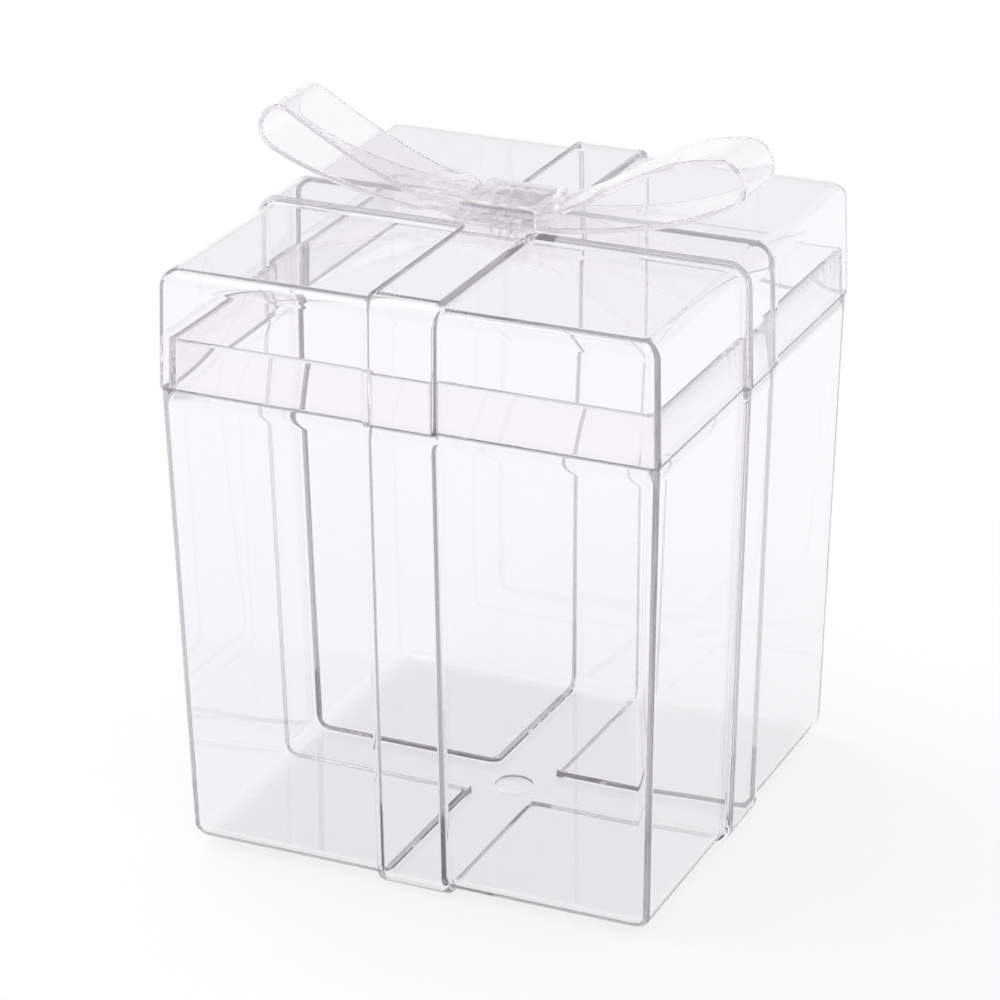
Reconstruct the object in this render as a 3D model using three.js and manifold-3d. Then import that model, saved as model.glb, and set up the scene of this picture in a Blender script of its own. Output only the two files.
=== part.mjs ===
// Clear gift box with a lift-off lid and a folded ribbon bow.
// Millimetres, +Z up. The origin is the middle of the box, on the surface it stands on.
// X runs along the front face and Y runs from the front face to the back.
import * as THREE from "three";
import { mergeVertices } from "three/addons/utils/BufferGeometryUtils.js";
import Module from "manifold-3d";

const wasm = await Module();
wasm.setup();

// Clearances
const FIT_GAP = 0.3; // between any two pieces that touch
const LAYER_GAP = 0.1; // between the ribbon's layers where it is folded flat
const OVERCUT = 1; // how far a cutting solid runs past an open face

// Raised bands that stand for the wrapping ribbon
const BAND_WIDTH = 11.4;
const BAND_RISE = 1;
const BAND_EDGE = 0.35; // rounding along the band's outer edges
const CHANNEL_INSET = 0.4; // the hollow behind a band is narrower by this on each side

// Lid, sizes across the plain faces between the bands
const LID_RIM_WIDTH = 80;
const LID_TAPER = 0.5; // how far each face leans in from rim to roof
const LID_DEPTH = 18.2; // rim to roof
const LID_WALL = 0.95;
const LID_ROOF = 1;
const LID_EDGE_R = 2.6; // rolled edge round the roof

// Box body
const RIM_OVERHANG = 0.25; // how far the lid's rim stands out past each face below it
const BODY_TAPER = 1.65; // how far each face leans in from shoulder to foot
const SHOULDER_HEIGHT = 76.8; // ledge that carries the lid, above the table
const NECK_HEIGHT = 7.7; // ledge to the top of the neck inside the lid
const BODY_WALL = 1.1;
const BODY_FLOOR = 1.2;
const NECK_WALL = 1.1;
const NECK_LIP_R = 0.3; // rounding of the neck's upper edges
const JOG_HEIGHT = 5; // length over which the inner wall swings in to the neck
const BODY_EDGE_R = 2.6; // rounded edge round the foot
const CORNER_R = 1.1; // upright corners of body and lid
const INNER_CORNER_R = 0.4; // upright corners of the hollows

// Mark that the moulding gate leaves in the middle of the floor
const GATE_WIDTH = 6;
const GATE_DEPTH = 0.45;

// Ribbon of the bow
const RIBBON_WIDTH = 12;
const RIBBON_THICKNESS = 0.8;
const RIBBON_WAIST = 10.6; // width where the knot holds it
const WAIST_RAMP = 2.2; // length over which the ribbon widens again
const FOLD_END = 4.4; // how far each folded end reaches past the middle

// A loop is a lower strand, a round tip and an upper strand back to the knot.
// Reach and tip height are taken from the middle of the roof's bands. Each strand leaves the
// tip at its angle, in degrees from straight outwards, and leaves the knot at its rise. The
// pulls are the lengths of its curve's handles at the tip and at the knot.
const LEFT_LOOP = {
  side: -1,
  reach: 39.7,
  tipRadius: 3.8,
  tipHeight: 11,
  crestAngle: 121,
  footAngle: 62,
  upperPull: [9, 11],
  upperRise: 12,
  lowerPull: [7, 14],
  lowerRise: 4,
};
const RIGHT_LOOP = {
  side: 1,
  reach: 39.5,
  tipRadius: 3.9,
  tipHeight: 11.5,
  crestAngle: 95,
  footAngle: 60,
  upperPull: [12, 10],
  upperRise: 15,
  lowerPull: [9, 12],
  lowerRise: 4,
};

// Knot clip: a bridge over the ribbon, with two split posts that snap into the lid
const KNOT_LENGTH = 12.6; // along the ribbon
const KNOT_WALL = 1;
const KNOT_ROOF = 0.8;
const KNOT_EDGE_R = 1.2;
const KNOT_INNER_R = 0.5;
const KNOT_BEVEL = 0.3;
const POST_SPACING = 6; // between the two posts, across the ribbon
const LEG_SPACING = 2.5; // between the two legs of a post
const LEG_THICKNESS = 0.9;
const LEG_WIDTH = 1.4;
const BARB_REACH = 0.6; // how far a barb stands out from its leg
const BARB_HEIGHT = 1.7;
const BARB_LAND = 0.3; // upright face at the barb's widest place

// Facets
const CORNER_STEPS = 4;
const EDGE_STEPS = 6;
const JOG_STEPS = 6;
const ROUND_STEPS = 32;
const STRAND_STEPS = 28;
const TIP_STEPS = 20;

// Heights and half widths that follow from the sizes above
const RIM_Z = SHOULDER_HEIGHT + FIT_GAP;
const ROOF_Z = RIM_Z + LID_DEPTH;
const BAND_TOP_Z = ROOF_Z + BAND_RISE;
const NECK_TOP_Z = SHOULDER_HEIGHT + NECK_HEIGHT;
const RIM_HALF = LID_RIM_WIDTH / 2;
const SHOULDER_HALF = RIM_HALF - RIM_OVERHANG;
const LID_CHANNEL_WIDTH = BAND_WIDTH - 2 * CHANNEL_INSET;
const NECK_BAND_WIDTH = LID_CHANNEL_WIDTH - 2 * FIT_GAP;
const LAYER_PITCH = RIBBON_THICKNESS + LAYER_GAP;
const RIBBON_Z = BAND_TOP_Z + FIT_GAP + RIBBON_THICKNESS / 2;
const KNOT_CEILING_Z = RIBBON_Z + 2 * LAYER_PITCH + RIBBON_THICKNESS / 2 + FIT_GAP;
const SLOT_LENGTH = LEG_SPACING + LEG_THICKNESS + 2 * FIT_GAP;
const SLOT_WIDTH = LEG_WIDTH + 2 * FIT_GAP;

const lerp = THREE.MathUtils.lerp;
const radians = THREE.MathUtils.degToRad;

// Turns a closed geometry into a solid that can be joined and cut.
function solid(geometry) {
  const bare = geometry.clone();
  bare.deleteAttribute("normal");
  bare.deleteAttribute("uv");
  const merged = mergeVertices(bare, 1e-4);
  return new wasm.Manifold(
    new wasm.Mesh({
      numProp: 3,
      vertProperties: merged.attributes.position.array,
      triVerts: new Uint32Array(merged.index.array),
    }),
  );
}

// Turns a solid back into a geometry with flat-shaded faces.
function geometryOf(body) {
  const mesh = body.getMesh();
  const indexed = new THREE.BufferGeometry();
  indexed.setAttribute("position", new THREE.BufferAttribute(mesh.vertProperties, mesh.numProp));
  indexed.setIndex(new THREE.BufferAttribute(mesh.triVerts, 1));
  const flat = indexed.toNonIndexed();
  flat.computeVertexNormals();
  return flat;
}

// Points of a rectangle with rounded corners, anticlockwise, at height z.
function roundedRing({ z, halfX, halfY, corner }) {
  const points = [];
  for (let quarter = 0; quarter < 4; quarter++) {
    const signX = quarter === 0 || quarter === 3 ? 1 : -1;
    const signY = quarter < 2 ? 1 : -1;
    for (let step = 0; step <= CORNER_STEPS; step++) {
      const angle = ((quarter + step / CORNER_STEPS) * Math.PI) / 2;
      points.push([
        signX * (halfX - corner) + corner * Math.cos(angle),
        signY * (halfY - corner) + corner * Math.sin(angle),
        z,
      ]);
    }
  }
  return points;
}

// Solid through a stack of rounded rectangles, from the lowest to the highest.
function loft(stations) {
  const rings = stations.map(roundedRing);
  const count = rings[0].length;
  const index = [];
  for (let level = 0; level + 1 < rings.length; level++) {
    for (let i = 0; i < count; i++) {
      const a = level * count + i;
      const b = level * count + ((i + 1) % count);
      index.push(a, b, b + count, a, b + count, a + count);
    }
  }
  const top = (rings.length - 1) * count;
  for (let i = 1; i + 1 < count; i++) {
    index.push(0, i + 1, i);
    index.push(top, top + i, top + i + 1);
  }
  const geometry = new THREE.BufferGeometry();
  geometry.setAttribute("position", new THREE.Float32BufferAttribute(rings.flat(2), 3));
  geometry.setIndex(index);
  return solid(geometry);
}

// Side view of a cup: half width against height, from its rounded foot edge to its mouth.
function cupSide({ footHalf, footZ, mouthHalf, mouthZ, edgeRadius }) {
  const slope = (mouthHalf - footHalf) / (mouthZ - footZ);
  const side = [];
  for (let step = 0; step <= EDGE_STEPS; step++) {
    const angle = ((1 - step / EDGE_STEPS) * Math.PI) / 2;
    const z = footZ + edgeRadius * (1 - Math.sin(angle));
    side.push({ z, half: footHalf + slope * (z - footZ) - edgeRadius * (1 - Math.cos(angle)) });
  }
  side.push({ z: mouthZ, half: mouthHalf });
  return side;
}

// The same cup with every face moved out by a distance, or in where it is negative.
function grown(cup, distance, footDistance = distance) {
  return {
    footHalf: cup.footHalf + distance,
    footZ: cup.footZ - footDistance,
    mouthHalf: cup.mouthHalf + distance,
    mouthZ: cup.mouthZ,
    edgeRadius: Math.max(cup.edgeRadius + distance, BAND_EDGE),
  };
}

// Square block that fills a side view, with its upright corners rounded.
function panelBlock(side, corner) {
  return loft(side.map(({ z, half }) => ({ z, halfX: half, halfY: half, corner })));
}

// Two blocks of band width that cross at right angles and fill a side view.
function crossBlock(side, width, edge) {
  const halfWidth = (z) => width / 2 - Math.max(0, edge - (z - side[0].z));
  const along = side.map(({ z, half }) => ({
    z,
    halfX: half,
    halfY: halfWidth(z),
    corner: edge,
  }));
  const across = along.map(({ z, halfX, halfY, corner }) => ({
    z,
    halfX: halfY,
    halfY: halfX,
    corner,
  }));
  return loft(along).add(loft(across));
}

// A square cup with its four bands, which run on across the foot.
function bandedCup(cup, corner, bandWidth, bandEdge) {
  const panels = panelBlock(cupSide(cup), corner);
  return panels.add(crossBlock(cupSide(grown(cup, BAND_RISE)), bandWidth, bandEdge));
}

// The lid's outer faces, taken as a cup that stands on its roof.
const lidCup = {
  footHalf: RIM_HALF - LID_TAPER,
  footZ: 0,
  mouthHalf: RIM_HALF,
  mouthZ: LID_DEPTH,
  edgeRadius: LID_EDGE_R,
};

// Half width of the lid's plain faces at a height above the table.
function lidHalfAt(z) {
  return lerp(lidCup.mouthHalf, lidCup.footHalf, (z - RIM_Z) / LID_DEPTH);
}

// One slot for a split post, cut right through whatever it crosses.
function postSlot(bottomZ, topZ) {
  const box = new THREE.BoxGeometry(SLOT_LENGTH, SLOT_WIDTH, topZ - bottomZ);
  return solid(box.translate(0, 0, (bottomZ + topZ) / 2));
}

// The pair of slots, one for each post.
function postSlots(bottomZ, topZ) {
  const slot = postSlot(bottomZ, topZ);
  const offset = POST_SPACING / 2;
  return slot.translate([0, offset, 0]).add(slot.translate([0, -offset, 0]));
}

// Lid, built roof down: the mesh is turned over where it is placed.
function makeLid() {
  const outside = bandedCup(lidCup, CORNER_R, BAND_WIDTH, BAND_EDGE);
  const hollow = grown(lidCup, -LID_WALL, -LID_ROOF);
  const slope = (hollow.mouthHalf - hollow.footHalf) / (hollow.mouthZ - hollow.footZ);
  hollow.mouthZ += OVERCUT;
  hollow.mouthHalf += slope * OVERCUT;
  const inside = bandedCup(hollow, INNER_CORNER_R, LID_CHANNEL_WIDTH, BAND_EDGE);
  const slots = postSlots(-BAND_RISE - OVERCUT, LID_ROOF + OVERCUT);
  return outside.subtract(inside).subtract(slots);
}

// Neck that the lid slides over: the lid's inner faces, less the fit.
function neckStations(inset) {
  const levels = [
    { z: SHOULDER_HEIGHT - OVERCUT, cut: 0 },
    { z: NECK_TOP_Z - NECK_LIP_R, cut: 0 },
    { z: NECK_TOP_Z, cut: NECK_LIP_R },
  ];
  return levels.map(({ z, cut }) => ({ z, half: lidHalfAt(z) - LID_WALL - FIT_GAP - inset - cut }));
}

// Side view of the body's hollow: drafted walls that swing in smoothly to the neck.
function hollowSide(cup, rise) {
  const neckHalf = (z) => lidHalfAt(z) - LID_WALL - FIT_GAP - NECK_WALL + rise;
  const jogZ = SHOULDER_HEIGHT - JOG_HEIGHT;
  const wallAt = (z) => lerp(cup.footHalf, cup.mouthHalf, (z - cup.footZ) / (cup.mouthZ - cup.footZ));
  const side = cupSide({ ...cup, mouthZ: jogZ, mouthHalf: wallAt(jogZ) });
  for (let step = 1; step <= JOG_STEPS; step++) {
    const z = jogZ + (step / JOG_STEPS) * JOG_HEIGHT;
    const share = THREE.MathUtils.smoothstep(z, jogZ, SHOULDER_HEIGHT);
    side.push({ z, half: lerp(wallAt(z), neckHalf(z), share) });
  }
  side.push({ z: NECK_TOP_Z + OVERCUT, half: neckHalf(NECK_TOP_Z + OVERCUT) });
  return side;
}

// Shallow dome that the gate leaves: hollow under the floor and raised above it.
function gateDome(baseZ) {
  const half = GATE_WIDTH / 2;
  const radius = (half * half + GATE_DEPTH * GATE_DEPTH) / (2 * GATE_DEPTH);
  const sweep = Math.asin(half / radius);
  const rootZ = baseZ - OVERCUT / 2;
  const profile = [new THREE.Vector2(0, rootZ), new THREE.Vector2(half, rootZ)];
  for (let step = 0; step <= EDGE_STEPS; step++) {
    const angle = sweep * (1 - step / EDGE_STEPS);
    const rise = radius * Math.cos(angle) - (radius - GATE_DEPTH);
    profile.push(new THREE.Vector2(step === EDGE_STEPS ? 0 : radius * Math.sin(angle), baseZ + rise));
  }
  return solid(new THREE.LatheGeometry(profile, ROUND_STEPS).rotateX(Math.PI / 2));
}

// Box body: banded cup, stepped neck, hollow that follows both, and the gate mark.
function makeBody() {
  const cup = {
    footHalf: SHOULDER_HALF - BODY_TAPER,
    footZ: BAND_RISE,
    mouthHalf: SHOULDER_HALF,
    mouthZ: SHOULDER_HEIGHT,
    edgeRadius: BODY_EDGE_R,
  };
  const neck = neckStations(0);
  const neckBand = neckStations(-BAND_RISE);
  const outside = bandedCup(cup, CORNER_R, BAND_WIDTH, BAND_EDGE)
    .add(panelBlock(neck, CORNER_R))
    .add(crossBlock(neckBand, NECK_BAND_WIDTH, BAND_EDGE));
  const inner = grown(cup, -BODY_WALL, -BODY_FLOOR);
  const channel = grown(inner, BAND_RISE);
  const channelWidth = NECK_BAND_WIDTH - 2 * CHANNEL_INSET;
  const inside = panelBlock(hollowSide(inner, 0), INNER_CORNER_R)
    .add(crossBlock(hollowSide(channel, BAND_RISE), channelWidth, BAND_EDGE));
  return outside.subtract(inside).add(gateDome(BODY_FLOOR)).subtract(gateDome(0));
}

// Middle line of one loop, from the knot's lower layer round the tip to the layer above.
function loopCurves({ side, reach, tipRadius, tipHeight, crestAngle, footAngle, ...pull }, layer) {
  const radius = tipRadius - RIBBON_THICKNESS / 2;
  const centre = new THREE.Vector2(reach - tipRadius, BAND_TOP_Z + tipHeight);
  const crest = radians(crestAngle);
  const foot = radians(-footAngle);
  const onTip = (angle) =>
    new THREE.Vector2(Math.cos(angle), Math.sin(angle)).multiplyScalar(radius).add(centre);
  const ahead = (from, angle, distance) =>
    new THREE.Vector2(Math.cos(angle), Math.sin(angle)).multiplyScalar(distance).add(from);
  const lowerExit = new THREE.Vector2(KNOT_LENGTH / 2, RIBBON_Z);
  const upperExit = new THREE.Vector2(KNOT_LENGTH / 2, RIBBON_Z + layer * LAYER_PITCH);
  const lower = new THREE.CubicBezierCurve(
    lowerExit,
    ahead(lowerExit, radians(pull.lowerRise), pull.lowerPull[1]),
    ahead(onTip(foot), foot - Math.PI / 2, pull.lowerPull[0]),
    onTip(foot),
  );
  const tip = Array.from({ length: TIP_STEPS + 1 }, (_, i) => onTip(lerp(foot, crest, i / TIP_STEPS)));
  const upper = new THREE.CubicBezierCurve(
    onTip(crest),
    ahead(onTip(crest), crest + Math.PI / 2, pull.upperPull[0]),
    ahead(upperExit, radians(pull.upperRise), pull.upperPull[1]),
    upperExit,
  );
  const points = [
    ...lower.getPoints(STRAND_STEPS),
    ...tip.slice(1, -1),
    ...upper.getPoints(STRAND_STEPS),
    new THREE.Vector2(-FOLD_END, upperExit.y),
  ];
  return points.map((point) => new THREE.Vector2(side * point.x, point.y));
}

// Both faces of a strip that follows a middle line, as one closed outline.
function stripOutline(line, thickness) {
  const left = [];
  const right = [];
  line.forEach((point, i) => {
    const before = line[Math.max(i - 1, 0)];
    const after = line[Math.min(i + 1, line.length - 1)];
    const along = after.clone().sub(before).normalize();
    const aside = new THREE.Vector2(-along.y, along.x).multiplyScalar(thickness / 2);
    left.push(point.clone().add(aside));
    right.push(point.clone().sub(aside));
  });
  return new THREE.Shape([...right, ...left.reverse()]);
}

// Trapezium, seen from above, that narrows one edge of the ribbon under the knot.
function waistNotch(bottomZ, topZ) {
  const flat = KNOT_LENGTH / 2 + FIT_GAP;
  const shape = new THREE.Shape([
    new THREE.Vector2(-flat, RIBBON_WAIST / 2),
    new THREE.Vector2(flat, RIBBON_WAIST / 2),
    new THREE.Vector2(flat + WAIST_RAMP, RIBBON_WIDTH / 2),
    new THREE.Vector2(flat + WAIST_RAMP, RIBBON_WIDTH),
    new THREE.Vector2(-flat - WAIST_RAMP, RIBBON_WIDTH),
    new THREE.Vector2(-flat - WAIST_RAMP, RIBBON_WIDTH / 2),
  ]);
  const block = new THREE.ExtrudeGeometry(shape, { depth: topZ - bottomZ, bevelEnabled: false });
  return block.translate(0, 0, bottomZ);
}

// Bow: one strip folded into two loops, its ends stacked over its middle.
function makeRibbon() {
  const leftLoop = loopCurves(LEFT_LOOP, 1);
  const rightLoop = loopCurves(RIGHT_LOOP, 2);
  const outline = stripOutline([...leftLoop.reverse(), ...rightLoop], RIBBON_THICKNESS);
  const strip = new THREE.ExtrudeGeometry(outline, { depth: RIBBON_WIDTH, bevelEnabled: false });
  const bottomZ = BAND_TOP_Z;
  const topZ = KNOT_CEILING_Z + LAYER_PITCH;
  const notch = waistNotch(bottomZ, topZ);
  return solid(strip.translate(0, 0, -RIBBON_WIDTH / 2).rotateX(Math.PI / 2))
    .subtract(solid(notch))
    .subtract(solid(notch.clone().rotateZ(Math.PI)))
    .subtract(postSlots(bottomZ, topZ));
}

// Outline of the knot's bridge, seen along the ribbon.
function bridgeOutline() {
  const innerHalf = RIBBON_WAIST / 2 + FIT_GAP;
  const half = innerHalf + KNOT_WALL;
  const footZ = BAND_TOP_Z + FIT_GAP;
  const topZ = KNOT_CEILING_Z + KNOT_ROOF;
  const inner = { x: innerHalf - KNOT_INNER_R, z: KNOT_CEILING_Z - KNOT_INNER_R };
  const outer = { x: half - KNOT_EDGE_R, z: topZ - KNOT_EDGE_R };
  const shape = new THREE.Shape();
  shape.moveTo(-half, footZ);
  shape.lineTo(-innerHalf, footZ);
  shape.lineTo(-innerHalf, inner.z);
  shape.absarc(-inner.x, inner.z, KNOT_INNER_R, Math.PI, Math.PI / 2, true);
  shape.lineTo(inner.x, KNOT_CEILING_Z);
  shape.absarc(inner.x, inner.z, KNOT_INNER_R, Math.PI / 2, 0, true);
  shape.lineTo(innerHalf, footZ);
  shape.lineTo(half, footZ);
  shape.lineTo(half, outer.z);
  shape.absarc(outer.x, outer.z, KNOT_EDGE_R, 0, Math.PI / 2, false);
  shape.lineTo(-outer.x, topZ);
  shape.absarc(-outer.x, outer.z, KNOT_EDGE_R, Math.PI / 2, Math.PI, false);
  return shape;
}

// One barbed leg, whose barb catches under the lid's roof.
function barbedLeg() {
  const innerX = (LEG_SPACING - LEG_THICKNESS) / 2;
  const outerX = innerX + LEG_THICKNESS;
  const catchZ = BAND_TOP_Z - LID_ROOF - FIT_GAP;
  const shape = new THREE.Shape([
    new THREE.Vector2(innerX, catchZ - BARB_HEIGHT),
    new THREE.Vector2(outerX, catchZ - BARB_HEIGHT),
    new THREE.Vector2(outerX + BARB_REACH, catchZ - BARB_LAND),
    new THREE.Vector2(outerX + BARB_REACH, catchZ),
    new THREE.Vector2(outerX, catchZ),
    new THREE.Vector2(outerX, KNOT_CEILING_Z + KNOT_ROOF / 2),
    new THREE.Vector2(innerX, KNOT_CEILING_Z + KNOT_ROOF / 2),
  ]);
  const leg = new THREE.ExtrudeGeometry(shape, { depth: LEG_WIDTH, bevelEnabled: false });
  return leg.translate(0, 0, -LEG_WIDTH / 2).rotateX(Math.PI / 2);
}

// Knot clip: the bridge and its four barbed legs.
function makeKnot() {
  const bridge = new THREE.ExtrudeGeometry(bridgeOutline(), {
    depth: KNOT_LENGTH - 2 * KNOT_BEVEL,
    bevelThickness: KNOT_BEVEL,
    bevelSize: KNOT_BEVEL,
    bevelOffset: -KNOT_BEVEL,
    bevelSegments: 2,
    curveSegments: CORNER_STEPS,
  });
  bridge.translate(0, 0, KNOT_BEVEL - KNOT_LENGTH / 2);
  bridge.rotateX(Math.PI / 2).rotateZ(Math.PI / 2);
  let knot = solid(bridge);
  for (const turn of [0, Math.PI]) {
    const leg = solid(barbedLeg().rotateZ(turn));
    for (const offset of [-POST_SPACING / 2, POST_SPACING / 2]) {
      knot = knot.add(leg.translate([0, offset, 0]));
    }
  }
  return knot;
}

// A named mesh with its own clear plastic.
function clearMesh(name, body, color, roughness, opacity) {
  const material = new THREE.MeshStandardMaterial({
    color,
    roughness,
    metalness: 0,
    transparent: true,
    opacity,
  });
  material.name = name;
  const mesh = new THREE.Mesh(geometryOf(body), material);
  mesh.name = name;
  return mesh;
}

const boxBody = clearMesh("box_body", makeBody(), 0xf2f3f7, 0.05, 0.3);
const lid = clearMesh("lid", makeLid(), 0xf2f3f7, 0.05, 0.3);
const bowRibbon = clearMesh("bow_ribbon", makeRibbon(), 0xf3edf3, 0.18, 0.5);
const knotClip = clearMesh("knot_clip", makeKnot(), 0xf1ebf2, 0.12, 0.45);

lid.position.z = ROOF_Z;
lid.rotation.x = Math.PI;

const lidAssembly = new THREE.Group();
lidAssembly.add(lid, bowRibbon, knotClip);

const giftBox = new THREE.Group();
giftBox.add(boxBody, lidAssembly);

export default giftBox;
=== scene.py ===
"""Clear gift box with a lift-off lid and a folded ribbon bow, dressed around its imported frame.

Metres, +Z up. X runs along the front face and along the bow, Y from the front face to the back.
"""

import logging
import math
from collections.abc import Callable, Iterable, Sequence
from dataclasses import dataclass, replace
from enum import Enum

import bmesh
import bpy
import numpy as np
from mathutils import Matrix, Vector


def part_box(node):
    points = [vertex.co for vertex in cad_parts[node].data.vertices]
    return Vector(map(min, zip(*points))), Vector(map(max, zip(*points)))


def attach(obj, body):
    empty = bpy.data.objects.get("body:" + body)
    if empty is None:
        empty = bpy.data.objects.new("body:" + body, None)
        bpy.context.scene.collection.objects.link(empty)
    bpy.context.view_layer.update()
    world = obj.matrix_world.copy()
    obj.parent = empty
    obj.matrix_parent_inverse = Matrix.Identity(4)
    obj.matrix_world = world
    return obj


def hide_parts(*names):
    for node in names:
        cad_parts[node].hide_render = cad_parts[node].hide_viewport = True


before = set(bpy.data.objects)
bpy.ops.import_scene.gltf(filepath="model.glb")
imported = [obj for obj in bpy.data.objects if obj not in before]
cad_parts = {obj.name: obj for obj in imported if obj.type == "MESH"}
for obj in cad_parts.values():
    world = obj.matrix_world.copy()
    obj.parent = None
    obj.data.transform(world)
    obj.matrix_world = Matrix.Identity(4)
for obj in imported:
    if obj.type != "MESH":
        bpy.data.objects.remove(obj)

LOG = logging.getLogger("gift_box")
MM = 0.001
QUARTER = math.pi / 2
PAINTED_SHADE = "painted_shade"  # attribute of painted shade: 1 where the plastic's colour is painted darker for the dark lines that refraction draws
MERGE = 0.001 * MM  # distance under which two vertices are one
BEVEL_ANGLE = math.radians(50)  # edges sharper than this are rounded
LIGHT_BOUNCES = 128  # the dark lines are light that runs a long way inside the walls

FloorGrid = list[list[int]]  # the numbers of a floor's vertices, line by line
Opening = Callable[[float, float], bool]  # tells from a cell's middle whether it is left open
Profile = Callable[[float], float]  # gives a half width at a height


class Body(Enum):
    """The two bodies that the pieces ride on."""

    BOX = "box"
    LID = "lid_with_bow"


class Slot(Enum):
    """The record's material slots."""

    BOX_PLASTIC = "clear_box_plastic"
    BOW_PLASTIC = "soft_bow_plastic"
    KNOT_PLASTIC = "knot_plastic"


class Side(Enum):
    """Which end of the bow a loop is on, as the sign of its X."""

    LEFT = -1
    RIGHT = 1


class Number:
    """A number socket of a node tree, on which arithmetic adds Math nodes."""

    def __init__(self, tree: "Tree", socket: bpy.types.NodeSocket) -> None:
        """Wraps a socket of a tree."""
        self.tree = tree
        self.socket = socket

    def math(self, operation: str, *others: "Number | float") -> "Number":
        """Adds one Math node that starts from this number.

        Args:
            operation: The Math node's operation.
            others: Its second and third operands.

        Returns:
            The node's result.
        """
        operands = dict(enumerate((self, *others)))
        return self.tree.number("ShaderNodeMath", {"operation": operation}, operands)

    def __add__(self, other: "Number | float") -> "Number":
        """Adds a number."""
        return self.math("ADD", other)

    def __radd__(self, other: float) -> "Number":
        """Adds to a plain number."""
        return self.math("ADD", other)

    def __sub__(self, other: "Number | float") -> "Number":
        """Takes a number away."""
        return self.math("SUBTRACT", other)

    def __rsub__(self, other: float) -> "Number":
        """Takes this away from a plain number."""
        return self.math("MULTIPLY_ADD", -1.0, other)

    def __mul__(self, other: "Number | float") -> "Number":
        """Multiplies by a number."""
        return self.math("MULTIPLY", other)

    def __rmul__(self, other: float) -> "Number":
        """Multiplies a plain number."""
        return self.math("MULTIPLY", other)

    def __truediv__(self, other: "Number | float") -> "Number":
        """Divides by a number."""
        return self.math("DIVIDE", other)

    def smooth_between(self, low: float, high: float) -> "Number":
        """Rises smoothly from 0 to 1.

        Args:
            low: Where the result starts to rise.
            high: Where it reaches 1.

        Returns:
            The smoothed share.
        """
        settings = {"interpolation_type": "SMOOTHSTEP"}
        inputs = {"Value": self, "From Min": low, "From Max": high}
        return self.tree.number("ShaderNodeMapRange", settings, inputs)


Term = Number | bpy.types.NodeSocket | float | str | Sequence[float] | bpy.types.ID
Settings = dict[str, object] | None
Inputs = dict[int | str, Term] | None


class Tree:
    """Makes and links the nodes of one node tree."""

    def __init__(self, nodes: bpy.types.NodeTree) -> None:
        """Starts from an empty tree."""
        self.nodes = nodes
        nodes.nodes.clear()

    @staticmethod
    def pick(sockets: Iterable[bpy.types.NodeSocket], key: int | str) -> bpy.types.NodeSocket:
        """Finds a socket by its number, its identifier or its name.

        Args:
            sockets: A node's inputs or outputs.
            key: The socket's number, identifier or name.

        Returns:
            The socket.
        """
        found = list(sockets)
        if isinstance(key, int):
            return found[key]
        by_identifier = [s for s in found if s.identifier == key]
        return (by_identifier or [s for s in found if s.name == key and s.enabled])[0]

    def node(self, kind: str, settings: Settings = None, inputs: Inputs = None) -> bpy.types.Node:
        """Adds one node.

        Args:
            kind: The node's type.
            settings: Its own settings, set before its sockets.
            inputs: The value or link of each socket, by number, identifier or name.

        Returns:
            The node.
        """
        node = self.nodes.nodes.new(kind)
        for name, value in (settings or {}).items():
            setattr(node, name, value)
        for key, value in (inputs or {}).items():
            self.feed(self.pick(node.inputs, key), value)
        return node

    def feed(self, socket: bpy.types.NodeSocket, value: Term) -> None:
        """Links a socket, or sets it.

        Args:
            socket: The input to feed.
            value: A number, colour, vector or data block, or a socket to link.
        """
        source = value.socket if isinstance(value, Number) else value
        if isinstance(source, bpy.types.NodeSocket):
            self.nodes.links.new(source, socket)
        else:
            socket.default_value = source

    def socket(
        self, kind: str, settings: Settings = None, inputs: Inputs = None, output: int | str = 0
    ) -> bpy.types.NodeSocket:
        """Adds one node and picks one of its outputs.

        Args:
            kind: The node's type.
            settings: Its own settings.
            inputs: The value or link of each socket.
            output: The output to pick.

        Returns:
            The output socket.
        """
        return self.pick(self.node(kind, settings, inputs).outputs, output)

    def number(
        self, kind: str, settings: Settings = None, inputs: Inputs = None, output: int | str = 0
    ) -> Number:
        """Adds one node and wraps one of its outputs as a number.

        Args:
            kind: The node's type.
            settings: Its own settings.
            inputs: The value or link of each socket.
            output: The output to wrap.

        Returns:
            The output as a number.
        """
        return Number(self, self.socket(kind, settings, inputs, output))

    def split(self, vector: bpy.types.NodeSocket) -> tuple[Number, ...]:
        """Splits a vector into its three numbers."""
        node = self.node("ShaderNodeSeparateXYZ", inputs={"Vector": vector})
        return tuple(Number(self, node.outputs[axis]) for axis in "XYZ")


def geometry_group(name: str, inputs: dict[str, str]) -> bpy.types.GeometryNodeTree:
    """Makes a geometry node group that takes a geometry and the given inputs.

    Args:
        name: The group's name.
        inputs: The kind of each further input, by name.

    Returns:
        The empty group.
    """
    group = bpy.data.node_groups.new(name, "GeometryNodeTree")
    for label, kind in {"Geometry": "Geometry", **inputs}.items():
        group.interface.new_socket(label, in_out="INPUT", socket_type=f"NodeSocket{kind}")
    group.interface.new_socket("Geometry", in_out="OUTPUT", socket_type="NodeSocketGeometry")
    return group


def set_inputs(modifier: bpy.types.NodesModifier, values: dict[str, object]) -> None:
    """Sets a node modifier's inputs by their sockets' identifiers.

    Args:
        modifier: The modifier.
        values: The value of each input, by name.
    """
    for item in modifier.node_group.interface.items_tree:
        if item.in_out == "INPUT" and item.name in values:
            modifier[item.identifier] = values[item.name]


def grey(level: float) -> tuple[float, float, float, float]:
    """Gives an opaque grey."""
    return level, level, level, 1.0


def eased(share: float) -> float:
    """Eases a share of a way at both its ends."""
    return share * share * (3 - 2 * share)


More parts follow.
